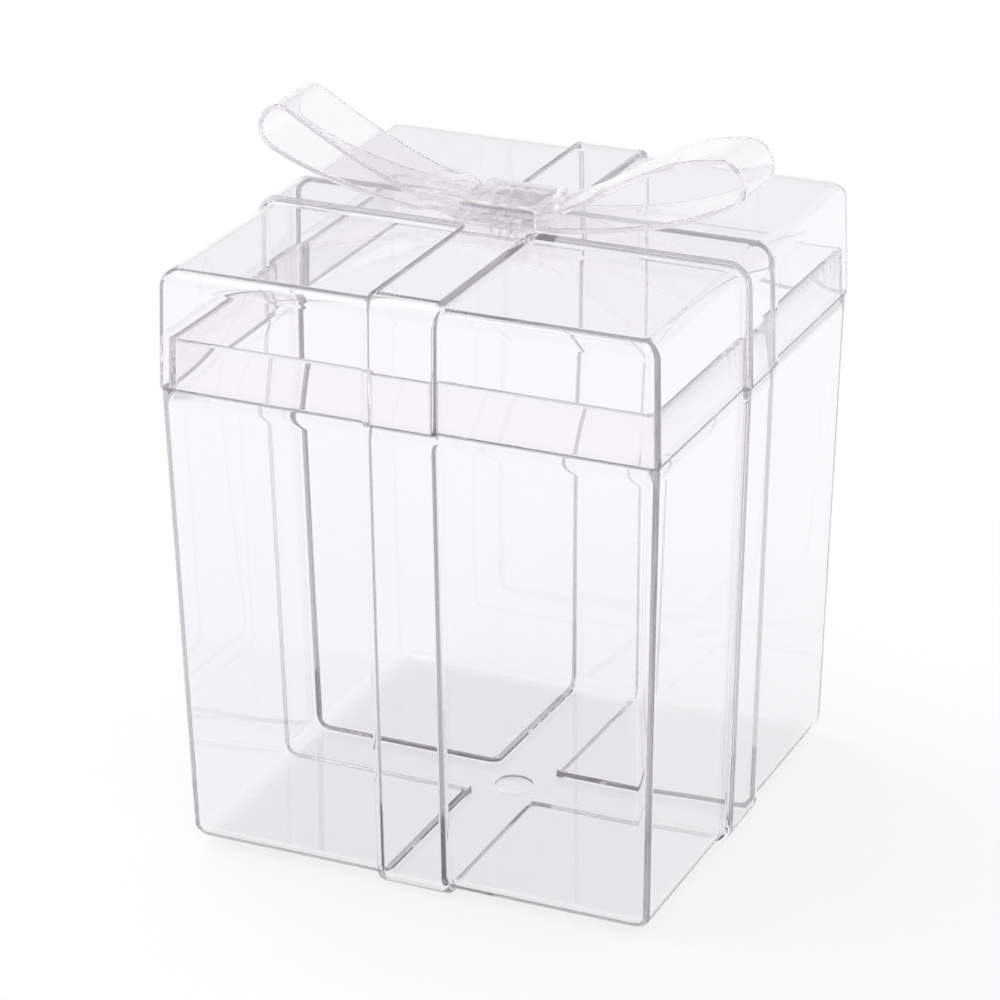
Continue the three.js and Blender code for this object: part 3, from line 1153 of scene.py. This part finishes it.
@dataclass(frozen=True)
class Loop:
    """One loop of the bow: a lower strand, a round tip and an upper strand. Angles in degrees."""

    side: Side
    reach: float
    tip_radius: float
    tip_height: float
    crest_angle: float  # from straight outwards up to where the upper strand leaves the tip
    foot_angle: float  # from straight outwards down to where the lower strand meets it
    upper_pull: tuple[float, float]  # handles at the tip and at the knot
    upper_rise: float
    lower_pull: tuple[float, float]
    lower_rise: float
    strand_steps: int = 60
    tip_steps: int = 36

    def line(
        self,
        bands_z: float,
        half_knot: float,
        lower_z: float,
        upper_z: float,
        thickness: float,
    ) -> np.ndarray:
        """Follows the ribbon's middle from the knot round the loop and back.

        Args:
            bands_z: Height of the top of the lid's bands.
            half_knot: Half the knot's length.
            lower_z: Height of the layer that leaves the knot.
            upper_z: Height of the layer that comes back.
            thickness: The ribbon's thickness.

        Returns:
            Rows of X and Z, lower strand first.
        """
        radius = self.tip_radius - thickness / 2
        centre = np.array([self.reach - self.tip_radius, bands_z + self.tip_height])
        foot, crest = -math.radians(self.foot_angle), math.radians(self.crest_angle)

        def toward(angle: float, distance: float) -> np.ndarray:
            """Gives a step of a length in a direction."""
            return distance * np.array([math.cos(angle), math.sin(angle)])

        tip = [centre + toward(a, radius) for a in np.linspace(foot, crest, self.tip_steps + 1)]
        start, back = np.array([half_knot, lower_z]), np.array([half_knot, upper_z])
        lower = bezier(
            start,
            start + toward(math.radians(self.lower_rise), self.lower_pull[1]),
            tip[0] + toward(foot - QUARTER, self.lower_pull[0]),
            tip[0],
            self.strand_steps,
        )
        upper = bezier(
            tip[-1],
            tip[-1] + toward(crest + QUARTER, self.upper_pull[0]),
            back + toward(math.radians(self.upper_rise), self.upper_pull[1]),
            back,
            self.strand_steps,
        )
        line = np.vstack([lower, tip[1:-1], upper])
        line[:, 0] *= self.side.value
        return line


LEFT_LOOP = Loop(
    side=Side.LEFT,
    reach=39.7 * MM,
    tip_radius=3.8 * MM,
    tip_height=11 * MM,
    crest_angle=121,
    foot_angle=62,
    upper_pull=(9 * MM, 11 * MM),
    upper_rise=12,
    lower_pull=(7 * MM, 14 * MM),
    lower_rise=4,
)
RIGHT_LOOP = Loop(
    side=Side.RIGHT,
    reach=39.5 * MM,
    tip_radius=3.9 * MM,
    tip_height=11.49 * MM,
    crest_angle=95,
    foot_angle=60,
    upper_pull=(12 * MM, 10 * MM),
    upper_rise=15,
    lower_pull=(9 * MM, 12 * MM),
    lower_rise=4,
)


@dataclass
class Bow(Piece):
    """The ribbon: one strip folded into two loops, swept along its middle line by a node tree."""

    name: str = "bow_strip"
    body: Body = Body.LID
    slot: Slot = Slot.BOW_PLASTIC
    nodes: tuple[str, ...] = ("bow_ribbon",)
    width: float = 12.0 * MM
    thickness: float = 0.8 * MM
    edge_radius: float = 0.12 * MM
    edge_segments: int = 3
    cut_lean: float = 0.6  # a face that looks along Y more than this is the strip's cut edge, which gets painted shade
    waist: float = 10.6 * MM  # width under the knot
    waist_ramp: float = 2.2 * MM
    half_knot: float = 6.3 * MM
    fold_end: float = 4.4 * MM
    fit: float = 0.3 * MM
    layer_gap: float = 0.1 * MM
    columns: int = 26
    gather_depth: float = 1.0 * MM
    gather_reach: float = 9.0 * MM
    gather_folds: float = 2.0
    gather_peak: float = 0.3  # where the folds are deepest, as a share of their reach
    gather_slant: float = 0.6  # folds by which they run across the strip on their way
    left: Loop = LEFT_LOOP
    right: Loop = RIGHT_LOOP

    def middle_line(self) -> np.ndarray:
        """Follows the whole strip, from its end in the second layer to its end on top.

        Returns:
            Rows of X, Y and Z.
        """
        bands_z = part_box("lid")[1].z
        pitch = self.thickness + self.layer_gap
        floor_z = bands_z + self.fit + self.thickness / 2
        sizes = (bands_z, self.half_knot, floor_z)
        left = self.left.line(*sizes, floor_z + pitch, self.thickness)
        right = self.right.line(*sizes, floor_z + 2 * pitch, self.thickness)
        start = [[self.fold_end, left[-1, 1]]]
        stop = [[-self.fold_end, right[-1, 1]]]
        flat = np.vstack([start, left[::-1], right, stop])
        return np.column_stack([flat[:, 0], np.zeros(len(flat)), flat[:, 1]])

    def path(self) -> bpy.types.Object:
        """Makes the middle line a curve object.

        Returns:
            The object, which the strip replaces.
        """
        points = self.middle_line()
        curve = bpy.data.curves.new("bow_path", "CURVE")
        curve.dimensions = "3D"
        spline = curve.splines.new("POLY")
        spline.points.add(len(points) - 1)
        weighted = np.column_stack([points, np.ones(len(points))])
        spline.points.foreach_set("co", weighted.ravel())
        return placed("bow_path", curve)

    def sizes(self) -> dict[str, float]:
        """Gives the sizes that the sweep's tree takes.

        Returns:
            Each size, by the name of its input.
        """
        return {
            "Width": self.width,
            "Waist": self.waist,
            "Knot Half": self.half_knot + self.fit,
            "Ramp": self.waist_ramp,
            "Gather Depth": self.gather_depth,
            "Gather Reach": self.gather_reach,
            "Folds": self.gather_folds,
        }

    def sweep(self) -> bpy.types.GeometryNodeTree:
        """Builds the tree that sweeps a strip along a path and gathers it beside the knot.

        Returns:
            The tree.
        """
        kinds = {**dict.fromkeys(self.sizes(), "Float"), "Columns": "Int", "Finish": "Material"}
        group = geometry_group("bow sweep", kinds)
        tree = Tree(group)
        given = tree.node("NodeGroupInput")
        size = {name: Number(tree, given.outputs[name]) for name in self.sizes()}
        half = size["Width"] * 0.5
        ends = [
            tree.socket("ShaderNodeCombineXYZ", inputs={"X": half * sign, "Y": 0.0, "Z": 0.0})
            for sign in (-1.0, 1.0)
        ]
        across = tree.socket(
            "GeometryNodeCurvePrimitiveLine", inputs={"Start": ends[0], "End": ends[1]}
        )
        profile = tree.socket(
            "GeometryNodeResampleCurve", inputs={"Curve": across, "Count": given.outputs["Columns"]}
        )
        strip = tree.socket(
            "GeometryNodeCurveToMesh",
            inputs={"Curve": given.outputs["Geometry"], "Profile Curve": profile},
        )
        moved = self.gathered(tree, strip, size)
        smooth = tree.socket("GeometryNodeSetShadeSmooth", inputs={"Geometry": moved})
        whole = tree.socket("GeometryNodeRealizeInstances", inputs={"Geometry": smooth})
        dressed = tree.socket(
            "GeometryNodeSetMaterial",
            inputs={"Geometry": whole, "Material": given.outputs["Finish"]},
        )
        tree.node("NodeGroupOutput", inputs={"Geometry": dressed})
        return group

    def gathered(
        self, tree: Tree, strip: bpy.types.NodeSocket, size: dict[str, Number]
    ) -> bpy.types.NodeSocket:
        """Narrows the strip under the knot and folds its left strands beside it.

        Args:
            tree: The tree.
            strip: The swept strip.
            size: The tree's sizes.

        Returns:
            The strip in its final shape.
        """
        x, y, z = tree.split(tree.socket("GeometryNodeInputPosition"))
        beyond = (x.math("ABSOLUTE") - size["Knot Half"]) / size["Ramp"]
        free = beyond.smooth_between(0.0, 1.0)
        share = size["Waist"] / size["Width"]
        narrowed = y * (share + free * (1.0 - share))
        along = (x * -1.0 - size["Knot Half"]) / size["Gather Reach"]
        rising = along.smooth_between(0.0, self.gather_peak)
        window = rising * (1.0 - along.smooth_between(self.gather_peak, 1.0))
        phase = (y / size["Width"] * size["Folds"] + along * self.gather_slant) * math.tau
        ripple = (phase.math("SINE") + 1.0) * 0.5 * window * size["Gather Depth"]
        target = tree.socket(
            "ShaderNodeCombineXYZ", inputs={"X": x, "Y": narrowed, "Z": z + ripple}
        )
        return tree.socket(
            "GeometryNodeSetPosition", inputs={"Geometry": strip, "Position": target}
        )

    def mesh(self) -> bpy.types.Mesh:
        """Sweeps the strip, gives it its thickness, rounds its edges and paints shade on its cut
        edges.

        Returns:
            The closed mesh.
        """
        path = self.path()
        modifier = path.modifiers.new("sweep", "NODES")
        modifier.node_group = self.sweep()
        set_inputs(modifier, {**self.sizes(), "Columns": self.columns})
        holder = placed("strip", settled(path))
        solid = holder.modifiers.new("thickness", "SOLIDIFY")
        solid.thickness = self.thickness
        solid.offset = 0.0
        round_edges(holder, self.edge_radius, self.edge_segments)
        mesh = tidied(settled(holder))
        for spent in (path, holder):
            bpy.data.objects.remove(spent)
        # painted shade on the strip's cut edges
        mark_painted_shade(mesh, lambda face: abs(face.normal.y) > self.cut_lean)
        return mesh


@dataclass
class Knot(Piece):
    """The knot: a bridge over the ribbon with four barbed legs that snap into the lid."""

    name: str = "knot_bridge"
    body: Body = Body.LID
    slot: Slot = Slot.KNOT_PLASTIC
    nodes: tuple[str, ...] = ("knot_clip",)
    inner_half: float = 5.6 * MM
    wall: float = 1.0 * MM
    ceiling: float = 0.8 * MM
    outer_radius: float = 1.2 * MM
    inner_radius: float = 0.5 * MM
    edge_radius: float = 0.18 * MM
    edge_segments: int = 2
    edge_lean: float = 0.93  # a face this far from every axis, and this small, is a rounded edge, which gets painted shade
    edge_area: float = 0.2 * MM * MM
    crisp_angle: float = math.radians(40)
    crease_at: float = 1.8 * MM
    crease_depth: float = 0.3 * MM
    crease_width: float = 0.5 * MM
    notch: float = 0.9 * MM
    flare: float = 1.0 * MM
    post_spacing: float = 6.0 * MM
    leg_spacing: float = 2.5 * MM
    leg_thickness: float = 0.9 * MM
    leg_width: float = 1.4 * MM
    leg_split: float = 0.01 * MM  # sets a post's two points apart, to tell its legs' sides
    barb_reach: float = 0.6 * MM
    barb_height: float = 1.7 * MM
    barb_land: float = 0.3 * MM
    lid_roof: float = 1.0 * MM  # what the barbs catch under
    fit: float = 0.3 * MM
    arc_steps: int = 6
    side_steps: int = 4
    top_steps: int = 10
    length_steps: int = 12

    def outline(
        self, half: float, foot_z: float, top_z: float, radius: float
    ) -> list[tuple[float, float]]:
        """Follows one face of the bridge over the ribbon.

        Args:
            half: Half its width.
            foot_z: Height of its feet.
            top_z: Height of its top.
            radius: The rounding of its two upper edges.

        Returns:
            Points of Y and Z, from the front foot to the back foot.
        """
        rise = (top_z - radius - foot_z) / self.side_steps
        left = [(-half, foot_z + rise * k) for k in range(self.side_steps)]
        left += [(near - half, top_z - far) for near, far in quarter_arc(radius, self.arc_steps)]
        flat = half - radius
        shares = [2 * k / self.top_steps - 1 for k in range(1, self.top_steps)]
        top = [(flat * share, top_z) for share in shares]
        right = [(-y, z) for y, z in reversed(left)]
        return left + top + right

    def end(self, y: float, z: float, foot_z: float, top_z: float) -> float:
        """Tells how far the left end stands out at a place on the bridge.

        Args:
            y: The place.
            z: The place.
            foot_z: Height of the bridge's feet.
            top_z: Height of its top.

        Returns:
            The distance, negative where the end is notched.
        """
        if abs(y) < self.inner_half - self.inner_radius:
            return 0.0
        share = (z - foot_z) / (top_z - foot_z)
        pinch = 1.0 - min(1.0, abs(2 * share - 1))
        return self.flare * max(0.0, 1.0 - 2 * share) - self.notch * pinch

    def sink(self, y: float) -> float:
        """Gives the depth of the crease across the bridge's top."""
        share = min(1.0, max(0.0, (y - self.crease_at) / self.crease_width + 0.5))
        return self.crease_depth * eased(share)

    def bridge(self) -> bpy.types.Mesh:
        """Lofts the bridge along the ribbon.

        Returns:
            The bridge's mesh.
        """
        low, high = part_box("knot_clip")
        foot_z, top_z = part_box("lid")[1].z + self.fit, high.z
        outer = self.outline(self.inner_half + self.wall, foot_z, top_z, self.outer_radius)
        inner = self.outline(self.inner_half, foot_z, top_z - self.ceiling, self.inner_radius)
        creased_z = top_z - self.outer_radius / 2
        section = [(y, z, self.sink(y) if z > creased_z else 0.0) for y, z in outer]
        section += [(y, z, 0.0) for y, z in inner]
        points = []
        for share in (step / self.length_steps for step in range(self.length_steps + 1)):
            for y, z, sunk in section:
                start = low.x - self.end(y, z, foot_z, top_z)
                points.append((start + share * (high.x - start), y, z - sunk))
        count, row = len(outer), len(section)
        faces = []
        for a in range(0, self.length_steps * row, row):
            b = a + row
            for k in range(count - 1):
                faces.append((a + k, a + k + 1, b + k + 1, b + k))
                faces.append((a + count + k, b + count + k, b + count + k + 1, a + count + k + 1))
            for k in (0, count - 1):
                faces.append((a + k, b + k, b + count + k, a + count + k))
        for a in (0, self.length_steps * row):
            for k in range(a, a + count - 1):
                faces.append((k, k + 1, k + count + 1, k + count))
        mesh = bpy.data.meshes.new("bridge")
        mesh.from_pydata(points, [], faces)
        return tidied(mesh)

    def leg(self) -> bpy.types.Object:
        """Makes one barbed leg.

        Returns:
            The leg's object, with its middle at the post's.
        """
        inner_x = (self.leg_spacing - self.leg_thickness) / 2
        outer_x = inner_x + self.leg_thickness
        catch_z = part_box("lid")[1].z - self.lid_roof - self.fit
        top_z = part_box("knot_clip")[1].z - self.ceiling / 2
        side = [
            (inner_x, catch_z - self.barb_height),
            (outer_x, catch_z - self.barb_height),
            (outer_x + self.barb_reach, catch_z - self.barb_land),
            (outer_x + self.barb_reach, catch_z),
            (outer_x, catch_z),
            (outer_x, top_z),
            (inner_x, top_z),
        ]
        half = self.leg_width / 2
        points = [(x, y, z) for y in (-half, half) for x, z in side]
        count = len(side)
        faces = [tuple(range(count)), tuple(range(count, 2 * count))]
        faces += [(k, (k + 1) % count, (k + 1) % count + count, k + count) for k in range(count)]
        mesh = bpy.data.meshes.new("leg")
        mesh.from_pydata(points, [], faces)
        return placed("leg", tidied(mesh))

    def posts(self) -> bpy.types.GeometryNodeTree:
        """Builds the tree that sets the four legs under the bridge and joins them to it.

        Returns:
            The tree.
        """
        kinds = {"Leg": "Object", "Post Spacing": "Float", "Finish": "Material"}
        group = geometry_group("snap posts", kinds)
        tree = Tree(group)
        given = tree.node("NodeGroupInput")
        places = tree.socket(
            "GeometryNodeMeshGrid",
            inputs={
                "Size X": self.leg_split,
                "Size Y": given.outputs["Post Spacing"],
                "Vertices X": 2,
                "Vertices Y": 2,
            },
        )
        x, _, _ = tree.split(tree.socket("GeometryNodeInputPosition"))
        behind = x.math("LESS_THAN", 0.0)
        turn = tree.socket("ShaderNodeCombineXYZ", inputs={"Z": behind * math.pi})
        leg = tree.socket(
            "GeometryNodeObjectInfo", inputs={"Object": given.outputs["Leg"]}, output="Geometry"
        )
        legs = tree.socket(
            "GeometryNodeInstanceOnPoints",
            inputs={"Points": places, "Instance": leg, "Rotation": turn},
        )
        whole = tree.socket("GeometryNodeRealizeInstances", inputs={"Geometry": legs})
        joined = tree.node("GeometryNodeMeshBoolean", {"operation": "UNION"})
        for part in (given.outputs["Geometry"], whole):
            tree.nodes.links.new(part, joined.inputs["Mesh 2"])
        dressed = tree.socket(
            "GeometryNodeSetMaterial",
            inputs={"Geometry": joined.outputs["Mesh"], "Material": given.outputs["Finish"]},
        )
        tree.node("NodeGroupOutput", inputs={"Geometry": dressed})
        return group

    def is_rounding(self, face: bpy.types.MeshPolygon) -> bool:
        """Tells whether a face belongs to a rounded edge, which gets painted shade."""
        return max(map(abs, face.normal)) < self.edge_lean and face.area < self.edge_area

    def mesh(self) -> bpy.types.Mesh:
        """Joins the bridge and its legs, rounds their edges and paints shade on the small
        roundings.

        Returns:
            The closed mesh.
        """
        holder = placed("bridge", self.bridge())
        leg = self.leg()
        modifier = holder.modifiers.new("posts", "NODES")
        modifier.node_group = self.posts()
        set_inputs(modifier, {"Leg": leg, "Post Spacing": self.post_spacing})
        round_edges(holder, self.edge_radius, self.edge_segments)
        mesh = tidied(settled(holder))
        for spent in (holder, leg):
            bpy.data.objects.remove(spent)
        mesh.set_sharp_from_angle(angle=self.crisp_angle)
        # painted shade on the knot's small rounded edges
        mark_painted_shade(mesh, self.is_rounding)
        return mesh


@dataclass(frozen=True)
class Sky:
    """The soft surroundings that the plastic mirrors and bends light from."""

    horizon: float = 1.0
    middle: float = 0.75
    overhead: float = 0.9
    camera_white: float = 1.0
    horizon_edge: tuple[float, float] = (0.12, 0.3)  # a ray's rise over which levels change
    overhead_edge: tuple[float, float] = (0.75, 0.92)

    def build(self) -> None:
        """Makes the world: white to the camera, banded by height for every other ray."""
        world = bpy.data.worlds.new("studio")
        bpy.context.scene.world = world
        world.use_nodes = True
        tree = Tree(world.node_tree)
        _, _, height = tree.split(tree.socket("ShaderNodeTexCoord", output="Generated"))
        off_horizon = height.smooth_between(*self.horizon_edge)
        to_overhead = height.smooth_between(*self.overhead_edge)
        level = self.horizon + off_horizon * (self.middle - self.horizon)
        level = level + to_overhead * (self.overhead - self.middle)
        seen = tree.number("ShaderNodeLightPath", output="Is Camera Ray")
        strength = level * (1 - seen) + seen * self.camera_white
        light = tree.socket(
            "ShaderNodeBackground", inputs={"Color": grey(1.0), "Strength": strength}
        )
        tree.node("ShaderNodeOutputWorld", inputs={"Surface": light})


@dataclass(frozen=True)
class Floor:
    """The plain white floor, which keeps the box's soft shadow."""

    radius: float = 3.0
    drop: float = 0.05 * MM  # how far it lies below the box's feet
    sides: int = 64
    glow: float = 0.79
    shade: float = 0.21  # colour that takes the shadow, where a ray sees the floor as background
    bounce: float = 0.75  # colour for every other ray

    def build(self) -> bpy.types.Object:
        """Makes the floor.

        Returns:
            The floor's object.
        """
        work = bmesh.new()
        low = Matrix.Translation((0.0, 0.0, -self.drop))
        bmesh.ops.create_circle(
            work, cap_ends=True, radius=self.radius, segments=self.sides, matrix=low
        )
        mesh = bpy.data.meshes.new("floor")
        work.to_mesh(mesh)
        work.free()
        mesh.materials.append(self.material())
        made = placed("floor", mesh)
        return made

    def material(self) -> bpy.types.Material:
        """Builds a white that a lens, a mirror and clear plastic see as background.

        Returns:
            The material.
        """
        made = bpy.data.materials.new("white floor")
        made.use_nodes = True
        tree = Tree(made.node_tree)
        path = tree.node("ShaderNodeLightPath")
        kinds = ("Is Camera Ray", "Is Glossy Ray", "Is Transmission Ray")
        camera, glossy, passed = (Number(tree, path.outputs[kind]) for kind in kinds)
        seen = camera.math("MAXIMUM", glossy).math("MAXIMUM", passed)
        plain = tree.socket("ShaderNodeBsdfDiffuse", inputs={"Color": grey(self.bounce)})
        shaded = tree.socket("ShaderNodeBsdfDiffuse", inputs={"Color": grey(self.shade)})
        glow = tree.socket("ShaderNodeEmission", inputs={"Strength": self.glow})
        white = tree.socket("ShaderNodeAddShader", inputs={0: shaded, 1: glow})
        surface = tree.socket("ShaderNodeMixShader", inputs={0: seen, 1: plain, 2: white})
        tree.node("ShaderNodeOutputMaterial", inputs={"Surface": surface})
        return made


@dataclass(frozen=True)
class Lamp:
    """A large soft lamp."""

    name: str = "key lamp"
    place: tuple[float, float, float] = (-1.0, 0.1, 1.0)
    target: tuple[float, float, float] = (0.0, 0.0, 0.05)
    size: float = 1.2
    power: float = 8.5

    def build(self) -> None:
        """Makes the lamp."""
        data = bpy.data.lights.new(self.name, "AREA")
        data.shape = "SQUARE"
        data.size = self.size
        data.energy = self.power
        made = placed(self.name, data)
        ahead = Vector(self.target) - Vector(self.place)
        made.location = self.place
        made.rotation_euler = ahead.to_track_quat("-Z", "Y").to_euler()


@dataclass(frozen=True)
class Camera:
    """The camera, at the photograph's viewing angle. Angles in radians, lens and sensor in mm."""

    target: tuple[float, float, float] = (0.0, 0.0, 0.0457)
    azimuth: float = 0.42195  # from straight in front, towards +X
    elevation: float = 0.41339
    distance: float = 0.60969
    roll: float = -0.005027
    lens: float = 140.98
    sensor: float = 36.0
    shift: tuple[float, float] = (-0.01459, 0.02468)
    nearest: float = 0.01

    def build(self) -> None:
        """Makes the camera and gives it to the scene."""
        data = bpy.data.cameras.new("camera")
        data.lens = self.lens
        data.sensor_width = self.sensor
        data.shift_x, data.shift_y = self.shift
        data.clip_start = self.nearest
        made = placed("camera", data)
        flat = math.cos(self.elevation)
        across, back = flat * math.sin(self.azimuth), flat * math.cos(self.azimuth)
        away = Vector((across, -back, math.sin(self.elevation)))
        turn = (-away).to_track_quat("-Z", "Y").to_matrix().to_4x4()
        place = Matrix.Translation(Vector(self.target) + self.distance * away)
        made.matrix_world = place @ turn @ Matrix.Rotation(self.roll, 4, "Z")
        bpy.context.scene.camera = made


def prepare_render() -> None:
    """Sets the plain view transform and lets light pass many layers of clear plastic."""
    scene = bpy.context.scene
    scene.view_settings.view_transform = "Standard"
    scene.cycles.max_bounces = LIGHT_BOUNCES
    scene.cycles.transmission_bounces = LIGHT_BOUNCES
    scene.cycles.glossy_bounces = LIGHT_BOUNCES


def main() -> None:
    """Builds the box, its lid, its bow and the studio."""
    logging.basicConfig(level=logging.INFO, format="%(message)s")
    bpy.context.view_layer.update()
    prepare_render()
    box_plastic = BOX_PLASTIC.material()
    BoxBody().make(box_plastic)
    Lid().make(box_plastic)
    Bow().make(BOW_PLASTIC.material())
    Knot().make(KNOT_PLASTIC.material())
    Floor().build()
    Sky().build()
    Lamp().build()
    Camera().build()


if __name__ == "__main__":
    main()
